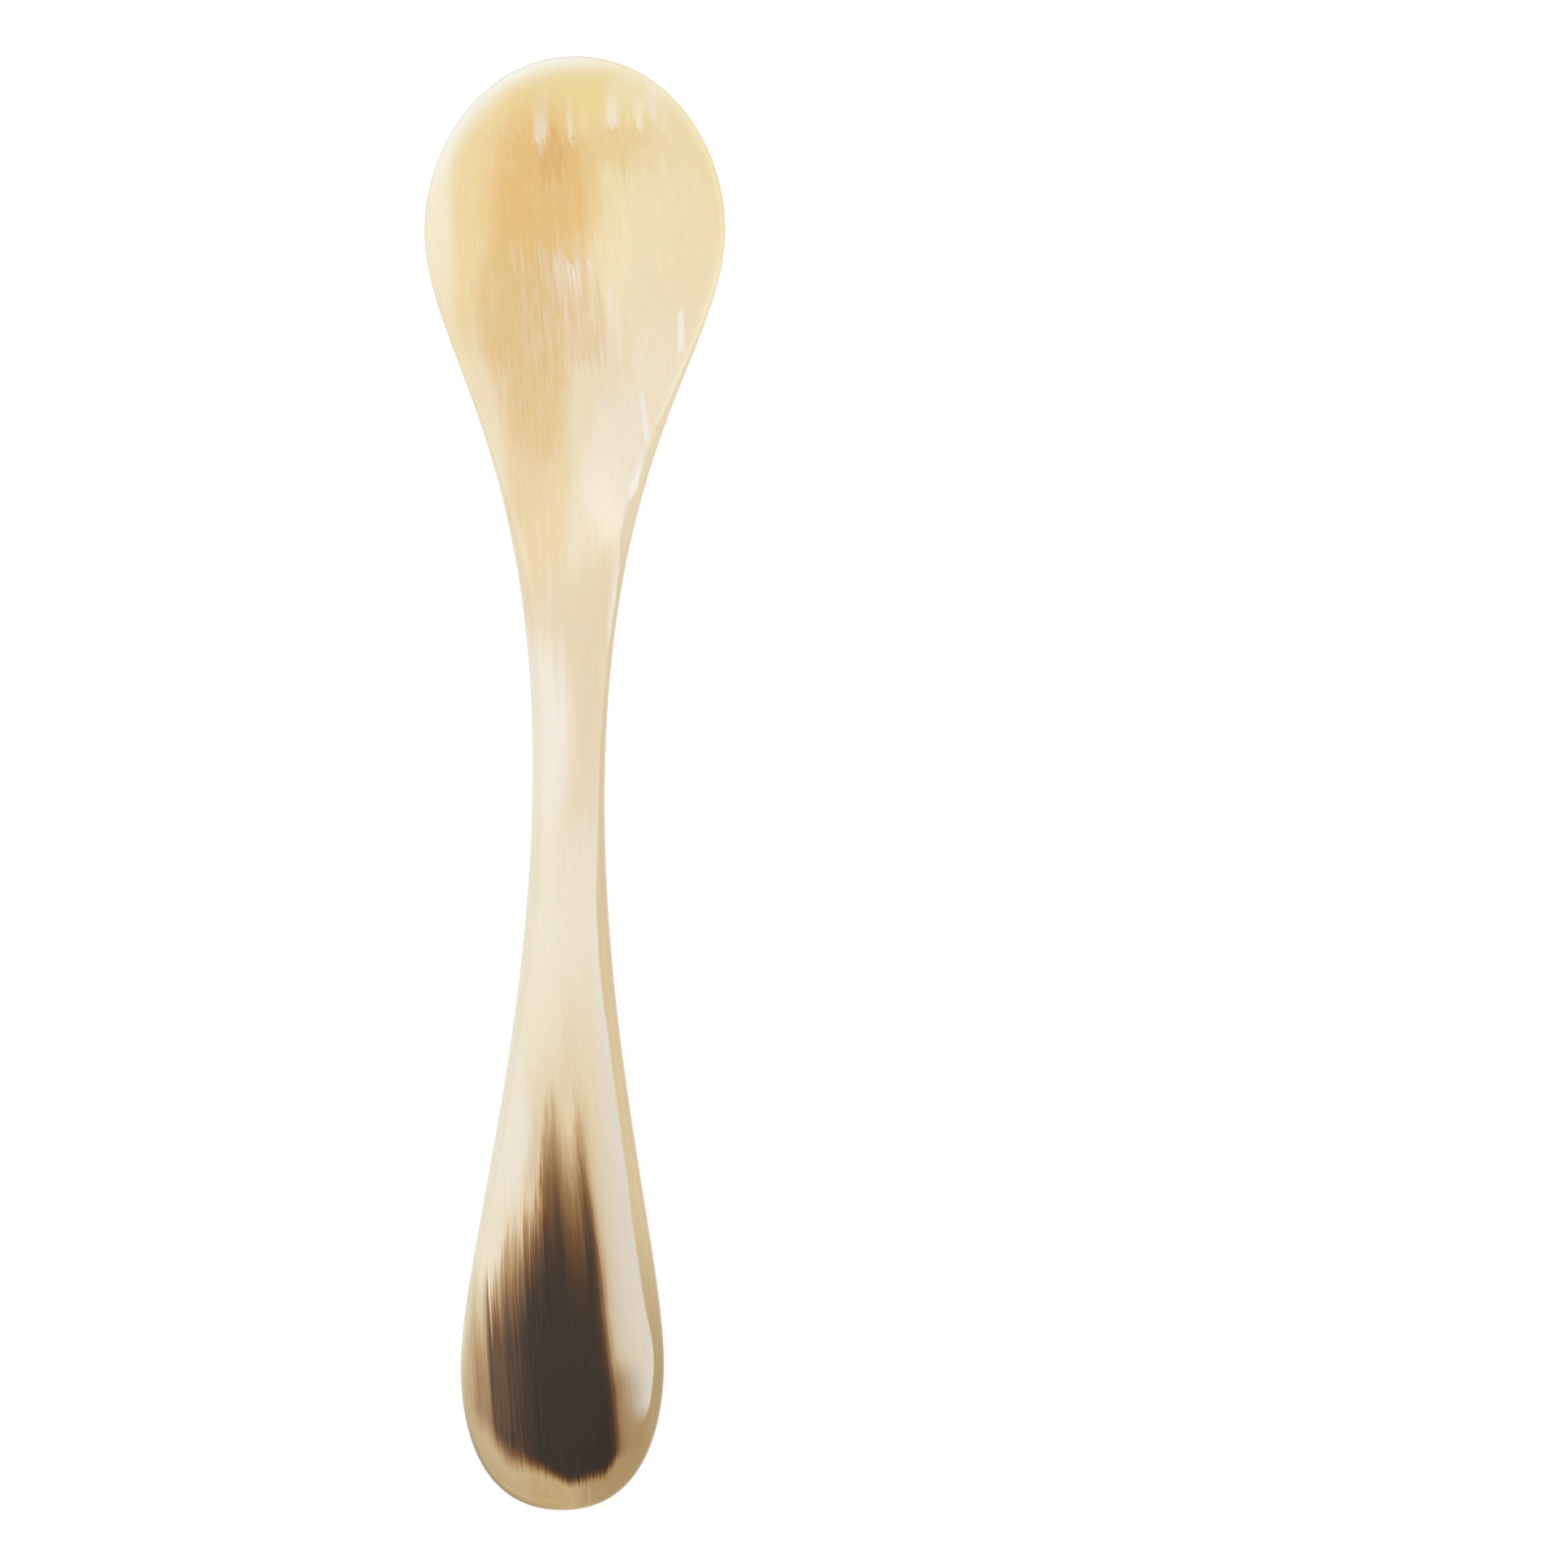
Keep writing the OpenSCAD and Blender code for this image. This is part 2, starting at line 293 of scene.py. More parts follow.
hornLook = {
    # how far the fibres have drifted to the right at distances from the tip
    "drift": [(0, 0), (10, 1.1), (22, 2.2), (40, 3.5), (60, 4.3), (90, 5.5), (112, 7.1), (130, 8.5)],
    "streaks": {                 # along the fibres: width and length of a spot in mm, seed, detail
        "broad": (2.4, 55, 3.0, 1.0),
        "medium": (0.9, 34, 7.0, 2.0),
        "thread": (0.42, 60, 31.0, 2.0),
        "slim": (0.26, 34, 43.0, 2.0),
        "fine": (0.30, 12, 11.0, 3.0),
        "hair": (0.12, 5, 23.0, 2.0),
    },
    "alongSpoon": [              # body colour at distances from the tip
        (0, (244, 232, 194)), (6, (244, 227, 174)), (14, (243, 225, 174)), (26, (243, 226, 189)),
        (38, (242, 229, 196)), (48, (237, 219, 184)), (58, (234, 217, 186)), (70, (236, 223, 197)),
        (80, (238, 226, 199)), (92, (232, 213, 175)), (104, (230, 213, 178)), (116, (216, 201, 164)),
        (124, (202, 180, 140)), (130, (197, 168, 116)),
    ],
    "alongShift": (10.0, 4.0),   # mm that broad and fine streaks shift it
    "clouds": [                  # across, along, half width, half length, strength, colour
        (-2.0, 2.6, 9.5, 4.0, 0.80, (243, 222, 154)),        # yellow inside the tip
        (-9.6, 15.0, 2.2, 12.0, 0.70, (240, 219, 160)),
        (5.2, 3.2, 3.0, 2.4, 0.40, (249, 240, 212)),
        (5.2, 7.4, 5.6, 3.0, 0.60, (239, 211, 148)),
        (9.5, 4.6, 4.2, 4.4, 0.50, (248, 236, 200)),
        (-3.3, 12.6, 5.8, 9.7, 0.95, (237, 199, 132)),       # amber of the bowl
        (-2.1, 8.6, 1.7, 2.8, 0.55, (226, 177, 106)),
        (-3.4, 26.6, 3.9, 11.0, 0.85, (232, 199, 140)),
        (-6.8, 21.8, 2.3, 7.4, 0.75, (232, 199, 135)),
        (-2.8, 38.2, 3.4, 11.0, 0.60, (238, 207, 151)),
        (-0.3, 20.3, 3.0, 3.8, 0.66, (227, 194, 142)),
        (1.3, 24.0, 2.2, 4.6, 0.60, (230, 200, 152)),
        (8.4, 19.5, 6.0, 14.0, 0.80, (250, 235, 201)),
        (7.4, 31.0, 3.4, 9.0, 0.70, (249, 239, 216)),
        (3.9, 37.0, 3.2, 8.8, 0.75, (246, 238, 219)),        # painted sheen, tongue-shaped
        (-4.8, 46.0, 1.1, 5.5, 0.60, (243, 231, 203)),
        (-2.7, 61.0, 3.4, 10.5, 0.90, (245, 238, 224)),      # painted sheen on the left of the neck
        (-3.2, 79.0, 4.4, 15.0, 0.70, (242, 234, 212)),
        (3.5, 55.5, 2.4, 13.0, 0.60, (233, 215, 180)),
        (1.2, 75.0, 2.2, 8.0, 0.60, (240, 231, 214)),
        (-5.0, 95.5, 2.2, 9.0, 0.85, (240, 233, 217)),
        (-6.8, 104.5, 1.7, 7.0, 0.80, (240, 231, 208)),
        (-2.5, 101.0, 1.2, 7.0, 0.65, (220, 197, 160)),
        (5.2, 106.0, 3.0, 13.0, 0.60, (224, 211, 186)),
        (5.8, 122.2, 2.6, 6.0, 0.85, (175, 147, 106)),
        (6.2, 127.0, 5.2, 6.0, 0.85, (174, 142, 92)),
    ],
    "cloudStep": (1.15, 0.25),   # of (u / half width)^2 + (t / half length)^2
    # mm that medium streaks shift a cloud's edge across, and fine ones and threads along
    "cloudShift": (2.0, 3.0, 4.0),
    # painted glints, highlights painted as white streaks along the fibres: across, crisp end, soft end,
    # half width, lean in degrees, strength, colour
    "paintedGlints": [
        (-3.15, 7.8, 1.4, 0.80, 1.0, 1.00, (242, 228, 204)),
        (-3.10, 9.0, 5.0, 0.30, 1.0, 0.60, (238, 218, 186)),
        (-0.45, 7.6, 2.4, 0.34, 5.0, 1.00, (246, 233, 203)),
        (3.30, 6.4, 1.4, 0.76, 3.0, 1.00, (246, 237, 218)),
        (5.65, 6.6, 2.4, 0.34, 2.0, 1.00, (250, 239, 212)),
        (6.95, 5.6, 1.4, 0.46, 6.0, 1.00, (250, 240, 214)),
        (7.95, 6.9, 3.0, 0.28, 6.0, 0.80, (250, 239, 212)),
        (-5.10, 6.7, 4.4, 0.17, 1.0, 0.50, (238, 218, 176)),
        (9.60, 26.3, 21.4, 0.38, 1.0, 1.00, (255, 254, 248)),
        (9.52, 22.6, 27.0, 0.34, 1.0, 0.90, (255, 254, 248)),
        (6.74, 34.8, 28.6, 0.32, 7.0, 1.00, (253, 250, 240)),
        (6.14, 30.0, 36.0, 0.26, 7.0, 0.80, (253, 250, 240)),
        (5.35, 39.0, 34.0, 0.46, -16.0, 0.90, (251, 247, 240)),
        (-1.85, 17.5, 23.5, 0.38, 7.0, 0.55, (242, 226, 200)),
        (-0.66, 18.1, 22.8, 0.20, 8.0, 0.85, (244, 232, 210)),
        (-0.22, 18.4, 23.2, 0.17, 8.0, 0.90, (244, 233, 214)),
        (0.16, 18.1, 22.2, 0.17, 8.0, 0.85, (242, 230, 208)),
        (1.15, 17.7, 21.6, 0.28, 9.0, 0.80, (243, 231, 208)),
        (-5.60, 16.8, 21.5, 0.26, 7.0, 0.50, (239, 220, 188)),
        (-4.85, 16.8, 21.5, 0.22, 7.0, 0.50, (239, 220, 188)),
        (3.10, 20.2, 30.0, 0.36, 4.0, 0.75, (247, 236, 215)),
        (3.80, 22.0, 33.0, 0.28, 4.0, 0.70, (248, 239, 220)),
    ],
    "paintedGlintShape": {
        "width": (1.15, 0.3), "crispEnd": (-0.06, 0.14), "softEnd": (0.95, 0.05),
        "hairRagged": 0.5, "fineRagged": 0.3, "broken": (0.30, 0.48), "leastStrength": 0.6,
    },
    "threadsAndSheen": {            # milky threads of the grain, denser in the middle of the bowl as a painted sheen
        "colour": (242, 230, 208), "slant": -0.25, "left": (-7.0, -2.0), "right": (4.6, 2.4),
        "starts": (16.4, 19.0), "ends": (36.0, 18.0), "sheenInBowl": 0.34,
        "elsewhere": (14.0, 34.0, 0.06, 0.16), "lastOnes": (112.0, 100.0), "density": (0.42, 0.62),
    },
    "tint": {"fineValue": 0.05, "hairValue": 0.07, "mediumSaturation": -0.15, "hairSaturation": -0.3},
    "paintedLitSide": {                # painted light, paler on the left of the bowl
        "colour": (250, 243, 226), "strength": 0.65, "across": (-11.2, -12.5), "slant": -0.06,
        "ragged": 0.5, "starts": (6.0, 10.0), "ends": (26.0, 16.0),
    },
    "lip": {                     # painted highlight on the lip, white, round the tip and the left of the bowl
        "colour": (252, 249, 242), "strength": 0.9, "fromRim": (2.35, 0.0), "across": (9.0, -2.0),
        "along": (15.0, 7.0), "under": (1.0, 0.6),
    },
    "litLeftEdge": {                # painted light on the left edge, pale along the neck and the handle
        "colour": (247, 242, 220), "strength": 0.6, "fromRim": (1.0, 0.0), "across": (-1.0, -2.5),
        "starts": (46.0, 56.0), "ends": (120.0, 113.0),
    },
    "rightSide": (0.5, 1.5),     # the painted shade of the flank and the painted sheen of the band are on this side only
    "shadedFlank": {                   # painted shade on the right flank, with its width at distances from the tip
        "width": [
            (18, 0), (24, 0.15), (29, 0.35), (33, 0.65), (36, 0.8), (38.5, 0.65), (40.5, 1.15),
            (42.5, 1.05), (45, 0.65), (50, 0.35), (60, 0.45), (68, 0.6), (74, 0.9), (80, 1.15),
            (90, 1.05), (98, 1.15), (108, 1.4), (112, 1.3), (114.5, 1.0), (117, 0.9), (119, 0.95),
            (120.5, 1.0), (121.6, 1.15), (122.6, 1.4), (124, 1.9), (130, 3.0),
        ],
        "ragged": 0.2, "border": (0.12, -0.12), "starts": (18.0, 26.0), "ends": (126.0, 121.0),
        "strength": (44.0, 78.0, 0.5, 0.88),
        "colour": (218, 196, 152), "handleColour": (175, 148, 100), "turns": (101.0, 120.0),
    },
    "sheenBand": {                    # painted sheen, a milky band just inside the flank
        "width": [
            (18, 0.1), (42, 0.1), (45, 0.6), (51, 0.6), (54, 0.1), (73, 0.1), (80, 1.0), (88, 2.0),
            (94, 3.0), (100, 3.3), (106, 3.7), (112, 4.4), (116, 4.0), (118, 3.4), (120, 2.6),
            (121.5, 1.8), (123, 0.8), (124, 0.1), (130, 0.1),
        ],
        "least": 0.1, "grows": (0.1, 0.7), "fineRagged": 0.8, "slimRagged": 1.2,
        "border": (-0.12, 0.12), "streaky": (0.40, 0.58, 0.66, 1.0),
        "ends": (122.4, 120.0), "endRagged": 1.5,
        "colour": (246, 239, 226), "handleColour": (228, 220, 208), "turns": (64.0, 100.0),
    },
    # The dark patch. Its fibres fan out towards the neck: v is the place of a fibre across the
    # handle where t, the distance from the tip, is 112. A stop of the lists is (v, value).
    "patchAt": 112.0,
    "patchFan": {"lean": 0.075, "early": (1.0, 0.00175), "late": (6.0, 0.007), "lateHeld": -7.0},
    "patchStreaks": {
        "strand": (0.45, 40, 51.0, 1.0),
        "thin": (0.20, 16, 63.0, 2.0),
        "wisp": (0.10, 6, 77.0, 1.0),
    },
    "patchWander": (0.45, 0.30),     # mm that thin streaks and wisps move a fibre aside
    "patchJitter": (7.0, 7.0, 4.0),  # mm that strands, thin streaks and wisps shift the start
    "patchLoose": (0.4, 0.4, 0.5),   # share by which they vary the strength
    "patchFringe": (1.0, 0.5),       # mm that thin streaks and wisps shift the end
    "patchFade": (-0.7, 0.8),
    "patchSoftness": (0.16, 0.08),   # of the turns at the limit and at nothing
    "patchLeft": (0.0, -5.0),        # its left side is more ragged
    "rightAndLeft": {"jitter": (0.5, 1.0), "loose": (0.15, 1.0), "fringe": (1.0, 2.4), "fade": (1.0, 2.2)},
    "patchStart": [              # the distance at which the dark pigment begins
        (-9, 112), (-8, 110), (-7, 110), (-6.5, 109.3), (-6, 108.5), (-5.5, 106.5), (-5, 104.8),
        (-4, 104), (-3.5, 103.5), (-3, 102.6), (-2.5, 101.9), (-2, 100.4), (-1.5, 97.6), (-1, 93.6),
        (0, 91.5), (0.5, 92.2), (1, 93.4), (2, 95.9), (2.5, 95.5), (3, 93.6), (3.5, 91.8), (5, 92),
        (7, 98),
    ],
    "patchRamp": [               # how far it takes to turn dark
        (-9, 24), (-8, 24), (-7, 18), (-6.6, 9), (-6, 9.5), (-5.5, 14), (-5, 13.5), (-4, 12.5),
        (-3, 11), (-2.5, 9.5), (-2, 11), (-1, 16), (0, 17), (1, 19), (1.5, 19), (2, 16.5), (3, 16),
        (3.5, 20), (7, 28),
    ],
    "patchLimit": [              # how dense it gets
        (-9, 0), (-8.5, 0.14), (-8, 0.34), (-7.5, 0.30), (-6.95, 0.34), (-6.6, 0.70), (-5.9, 0.60),
        (-5.5, 0.76), (-5, 0.79), (-4, 0.89), (-3, 0.97), (2.6, 0.96), (2.95, 0.89), (3.25, 0.74),
        (3.5, 0.56), (3.8, 0.29), (4.05, 0.16), (4.4, 0.08), (5, 0.03), (6, 0), (7, 0),
    ],
    "patchEnd": [                # and where it ends
        (-9, 121), (-7.5, 123), (-6, 125), (-4.6, 125.6), (-3.5, 126.0), (-1.5, 127.1),
        (-0.7, 127.5), (0.2, 127.3), (1.2, 126.9), (2.1, 126.7), (2.5, 126.4), (2.9, 125.9),
        (3.3, 125.2), (7, 123.5),
    ],
    "pigment": [                 # what a layer of the pigment lets through, by its density
        (0.0, (255, 255, 255)), (0.2, (223, 203, 180)), (0.4, (172, 140, 104)), (0.6, (123, 92, 59)),
        (0.8, (84, 62, 41)), (1.0, (56, 48, 38)),
    ],
    "border": {                  # painted shade along the edge of the handle's end, darker on the left
        "colour": (124, 105, 74), "strength": 0.6, "fromRim": (0.42, 0.12), "along": (119.0, 126.0),
        "across": (1.0, -4.0),
    },
    "roughness": 0.16,
    "specular": 0.4,
    "subsurface": 0.2,
    "subsurfaceRadius": (1.0, 0.6, 0.3),
    "subsurfaceScale": 0.0015,
    "grooves": {"fine": 0.8, "hair": 0.3, "strength": 0.8, "depth": 0.00002},
}


def makeHorn(name, look):
    material = bpy.data.materials.new(name)
    material.use_nodes = True
    tree = material.node_tree
    shader = tree.nodes["Principled BSDF"]

    place = addNode(tree, "ShaderNodeSeparateXYZ")
    plug(tree, place.inputs[0], addNode(tree, "ShaderNodeTexCoord").outputs["Object"])
    across = calc(tree, "MULTIPLY", place.outputs[0], 1 / mm)
    along = calc(tree, "MULTIPLY_ADD", place.outputs[1], -1 / mm, tipY)
    up = calc(tree, "MULTIPLY", place.outputs[2], 1 / mm)
    under = addNode(tree, "ShaderNodeAttribute", attribute_name="underSide").outputs["Fac"]
    fromRim = addNode(tree, "ShaderNodeAttribute", attribute_name="fromRim").outputs["Fac"]
    upper = softStep(tree, under, 0.6, 0.3)          # 1 on the upper face, fading out round the edge

    def offset(value, amount):
        # a noise about zero, times an amount
        return calc(tree, "MULTIPLY", calc(tree, "SUBTRACT", value, 0.5), amount)

    def add(first, *rest):
        for value in rest:
            first = calc(tree, "ADD", first, value)
        return first

    def times(first, *rest):
        for value in rest:
            first = calc(tree, "MULTIPLY", first, value)
        return first

    def streaks(fibre, width, length, seed, detail):
        # noise stretched along the fibres: one spot is about width by length, in mm
        vector = addNode(tree, "ShaderNodeCombineXYZ")
        plug(tree, vector.inputs[0], calc(tree, "MULTIPLY_ADD", fibre, 1 / width, seed))
        plug(tree, vector.inputs[1], calc(tree, "MULTIPLY", along, 1 / length))
        plug(tree, vector.inputs[2], calc(tree, "MULTIPLY", up, 0.4 / width))
        noise = addNode(tree, "ShaderNodeTexNoise")
        plug(tree, noise.inputs["Vector"], vector.outputs[0])
        plug(tree, noise.inputs["Scale"], 1.0)
        plug(tree, noise.inputs["Detail"], detail)
        return noise.outputs["Fac"]

    def colourRamp(value, stops, last):
        node = addNode(tree, "ShaderNodeValToRGB")
        elements = node.color_ramp.elements
        while len(elements) < len(stops):
            elements.new(0.5)
        for element, (position, rgb) in zip(elements, stops):
            element.position, element.color = position / last, colour(*rgb)
        plug(tree, node.inputs[0], calc(tree, "DIVIDE", value, last))
        return node.outputs[0]

    # a fibre's number is its place across, less its drift
    fibre = calc(tree, "SUBTRACT", across, byPlace(tree, along, 0, 10, look["drift"], "AUTO"))
    spots = look["streaks"].values()
    broad, medium, thread, slim, fine, hair = [streaks(fibre, *spot) for spot in spots]

    # body colour along the spoon, shifted a little from fibre to fibre
    broadShift, fineShift = look["alongShift"]
    shifted = add(along, offset(broad, broadShift), offset(fine, fineShift))
    body = colourRamp(shifted, look["alongSpoon"], spoonLength)

    # deeper and paler clouds: an ellipse's (u / a)^2 + (t / b)^2 through a soft step
    mediumShift, fineShift, threadShift = look["cloudShift"]
    for u, t, halfWidth, halfLength, strength, rgb in look["clouds"]:
        wide = calc(tree, "DIVIDE", add(across, -u, offset(medium, mediumShift)), halfWidth)
        far = add(along, -t, offset(fine, fineShift), offset(thread, threadShift))
        far = calc(tree, "DIVIDE", far, halfLength)
        square = add(times(wide, wide), times(far, far))
        share = softStep(tree, square, *look["cloudStep"], 0.0, strength)
        body = mixColour(tree, share, body, colour(*rgb))

    # milky threads of the grain; in the middle of the bowl they are denser as a painted sheen
    milk = look["threadsAndSheen"]
    sheenInBowl = times(softStep(tree, add(along, times(across, milk["slant"])), *milk["starts"]),
                   softStep(tree, along, *milk["ends"]),
                   softStep(tree, across, *milk["left"]), softStep(tree, across, *milk["right"]))
    elsewhere = times(softStep(tree, along, *milk["lastOnes"]), softStep(tree, along, *milk["elsewhere"]))
    zone = add(times(sheenInBowl, milk["sheenInBowl"]), elsewhere)
    milky = softStep(tree, add(times(thread, 0.5), times(slim, 0.5)), *milk["density"])
    body = mixColour(tree, times(milky, zone), body, colour(*milk["colour"]))

    # each fibre a little lighter or darker, and a little more or less yellow
    amount = look["tint"]
    tint = addNode(tree, "ShaderNodeHueSaturation")
    value = add(1.0, offset(fine, amount["fineValue"]), offset(hair, amount["hairValue"]))
    saturation = add(1.0, offset(medium, amount["mediumSaturation"]),
                     offset(hair, amount["hairSaturation"]))
    plug(tree, tint.inputs["Value"], value)
    plug(tree, tint.inputs["Saturation"], saturation)
    plug(tree, tint.inputs["Color"], body)
    body = tint.outputs[0]

    # painted glints: highlights painted into the colour as white streaks, sharp at one end and fading to
    # the other
    glint = look["paintedGlintShape"]
    ragged = add(offset(hair, glint["hairRagged"]), offset(fine, glint["fineRagged"]))
    for u, crisp, soft, halfWidth, lean, strength, rgb in look["paintedGlints"]:
        slope = math.tan(math.radians(lean))
        aside = add(calc(tree, "MULTIPLY_ADD", along, -slope, across), crisp * slope - u)
        wide = calc(tree, "ABSOLUTE", calc(tree, "DIVIDE", aside, halfWidth))
        far = add(calc(tree, "DIVIDE", add(along, -crisp), soft - crisp), ragged)
        broken = softStep(tree, hair, *glint["broken"], glint["leastStrength"] * strength, strength)
        shape = times(softStep(tree, wide, *glint["width"]), softStep(tree, far, *glint["crispEnd"]),
                      softStep(tree, far, *glint["softEnd"]), upper, broken)
        body = mixColour(tree, shape, body, colour(*rgb))

    # painted light: the left of the bowl is paler, and a painted highlight whitens the lip
    side = look["paintedLitSide"]
    aside = add(across, offset(fine, side["ragged"]), times(along, side["slant"]))
    paintedLight = times(softStep(tree, aside, *side["across"]), softStep(tree, along, *side["ends"]),
                 softStep(tree, along, *side["starts"]))
    body = mixColour(tree, times(paintedLight, side["strength"]), body, colour(*side["colour"]))
    # painted highlight: a white line along the lip
    lip = look["lip"]
    white = times(softStep(tree, fromRim, *lip["fromRim"]), softStep(tree, across, *lip["across"]),
                  softStep(tree, along, *lip["along"]), softStep(tree, under, *lip["under"]))
    body = mixColour(tree, times(white, lip["strength"]), body, colour(*lip["colour"]))

    # painted light: the left edge of the neck and the handle is pale too
    edge = look["litLeftEdge"]
    onLitEdge = times(softStep(tree, fromRim, *edge["fromRim"]), softStep(tree, across, *edge["across"]),
                   upper, softStep(tree, along, *edge["starts"]), softStep(tree, along, *edge["ends"]))
    body = mixColour(tree, times(onLitEdge, edge["strength"]), body, colour(*edge["colour"]))

    # on the right a painted sheen in a milky band, laid out from the border of the flank, and painted shade
    # on the deeper flank
    shadedFlank, sheenBand = look["shadedFlank"], look["sheenBand"]
    flankWidth = byPlace(tree, along, 0, 3, shadedFlank["width"], "AUTO")
    beside = calc(tree, "SUBTRACT", add(fromRim, offset(fine, shadedFlank["ragged"])), flankWidth)
    onRight = softStep(tree, across, *look["rightSide"])
    # painted sheen: the milky band along the right of the top face
    bandWidth = byPlace(tree, along, 0, 5, sheenBand["width"], "AUTO")
    inward = add(beside, offset(fine, sheenBand["fineRagged"]), offset(slim, sheenBand["slimRagged"]))
    reach = calc(tree, "DIVIDE", inward, calc(tree, "MAXIMUM", bandWidth, sheenBand["least"]))
    streaky = add(times(slim, 0.4), times(fine, 0.4), times(hair, 0.2))
    ending = softStep(tree, add(along, offset(slim, sheenBand["endRagged"])), *sheenBand["ends"])
    onSheenBand = times(softStep(tree, reach, 1.0, 0.0), softStep(tree, bandWidth, *sheenBand["grows"]),
                   onRight, upper, softStep(tree, beside, *sheenBand["border"]),
                   softStep(tree, streaky, *sheenBand["streaky"]), ending)
    turning = softStep(tree, along, *sheenBand["turns"])
    bandSheen = mixColour(tree, turning, colour(*sheenBand["colour"]), colour(*sheenBand["handleColour"]))
    body = mixColour(tree, onSheenBand, body, bandSheen)
    # painted shade: the right flank made deeper in colour
    onShadedFlank = times(softStep(tree, beside, *shadedFlank["border"]), onRight,
                    softStep(tree, along, *shadedFlank["starts"]), softStep(tree, along, *shadedFlank["ends"]),
                    softStep(tree, along, *shadedFlank["strength"]))
    turning = softStep(tree, along, *shadedFlank["turns"])
    flankShade = mixColour(tree, turning, colour(*shadedFlank["colour"]), colour(*shadedFlank["handleColour"]))
    body = mixColour(tree, onShadedFlank, body, flankShade)

    # dark pigment in the handle, each fibre with its own beginning, strength and end:
    # v = u + 0.075 (112 - t) + (u + 1) 0.00175 (112 - t)^2 before 112, and after it
    # v = u + 0.075 (112 - t) + 0.007 (u + 6)(112 - t), the last held from 119 on
    fan = look["patchFan"]
    before = calc(tree, "MULTIPLY_ADD", along, -1.0, look["patchAt"])
    early = calc(tree, "MAXIMUM", before, 0.0)
    late = calc(tree, "MAXIMUM", calc(tree, "MINIMUM", before, 0.0), fan["lateHeld"])
    (earlyCentre, earlyFan), (lateCentre, lateFan) = fan["early"], fan["late"]
    onFibre = add(across, times(before, fan["lean"]),
                  times(add(across, earlyCentre), early, early, earlyFan),
                  times(add(across, lateCentre), late, lateFan))
    spots = look["patchStreaks"].values()
    strand, thin, wisp = [streaks(onFibre, *spot) for spot in spots]
    thinAside, wispAside = look["patchWander"]
    onFibre = add(onFibre, offset(thin, thinAside), offset(wisp, wispAside))
    start = byPlace(tree, onFibre, 80, 145, look["patchStart"])
    rampLength = byPlace(tree, onFibre, 0, 40, look["patchRamp"])
    limit = byPlace(tree, onFibre, 0, 1, look["patchLimit"])
    ending = byPlace(tree, onFibre, 80, 145, look["patchEnd"])
    leftSide = softStep(tree, across, *look["patchLeft"])

    def varied(amounts):
        strandAmount, thinAmount, wispAmount = amounts
        return add(offset(strand, strandAmount), offset(thin, thinAmount), offset(wisp, wispAmount))

    def sided(key):
        # from the right side's share to the left side's
        right, left = look["rightAndLeft"][key]
        return add(times(leftSide, left - right), right)

    # how dense: the way from the start in shares of the ramp, held softly at the limit
    atLimit, atNothing = look["patchSoftness"]
    jitter = times(varied(look["patchJitter"]), sided("jitter"))
    density = calc(tree, "DIVIDE", calc(tree, "SUBTRACT", add(along, jitter), start), rampLength)
    loose = times(varied(look["patchLoose"]), sided("loose"))
    density = calc(tree, "SMOOTH_MIN", density, times(limit, add(1.0, loose)), atLimit)
    density = calc(tree, "SMOOTH_MAX", density, 0.0, atNothing)

    # and a fringe at the end, longer and softer on the left
    thinFringe, wispFringe = look["patchFringe"]
    fringe = times(add(offset(thin, thinFringe), offset(wisp, wispFringe)), sided("fringe"))
    left = calc(tree, "DIVIDE", calc(tree, "SUBTRACT", ending, add(along, fringe)), sided("fade"))
    density = times(density, softStep(tree, left, *look["patchFade"]))
    through = colourRamp(density, look["pigment"], 1.0)
    layer = addNode(tree, "ShaderNodeMix", data_type="RGBA", blend_type="MULTIPLY")
    plug(tree, layer.inputs["Factor"], 1.0)
    plug(tree, layer.inputs[6], body)
    plug(tree, layer.inputs[7], through)
    body = layer.outputs[2]

    # painted shade along the edge of the handle's end, darker on the left
    border = look["border"]
    onEdgeShade = times(softStep(tree, fromRim, *border["fromRim"]), softStep(tree, along, *border["along"]),
                     softStep(tree, across, *border["across"]), upper)
    body = mixColour(tree, times(onEdgeShade, border["strength"]), body, colour(*border["colour"]))

    plug(tree, shader.inputs["Base Color"], body)
    shader.inputs["Roughness"].default_value = look["roughness"]
    shader.inputs["Specular IOR Level"].default_value = look["specular"]
    shader.inputs["Subsurface Weight"].default_value = look["subsurface"]
    shader.inputs["Subsurface Radius"].default_value = look["subsurfaceRadius"]
    shader.inputs["Subsurface Scale"].default_value = look["subsurfaceScale"]

    # fine grooves along the fibres, over a slight unevenness from the scraper
    grooves = look["grooves"]
    height = add(medium, times(fine, grooves["fine"]), times(hair, grooves["hair"]))
    bump = addNode(tree, "ShaderNodeBump")
    plug(tree, bump.inputs["Height"], height)
    bump.inputs["Strength"].default_value = grooves["strength"]
    bump.inputs["Distance"].default_value = grooves["depth"]
    plug(tree, shader.inputs["Normal"], bump.outputs[0])
    print("horn:", len(look["clouds"]), "clouds,", len(look["paintedGlints"]), "glints,", len(tree.nodes), "nodes")
    return material


spoonPiece.data.materials.append(makeHorn("polished_horn", hornLook))
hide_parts("spoon")
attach(spoonPiece, "root")


# Floor: white to the camera, with the spoon's shadow kept

floorLook = {"half": 1.5, "colour": 0.8, "seenColour": 0.3, "seenGlow": 0.8}


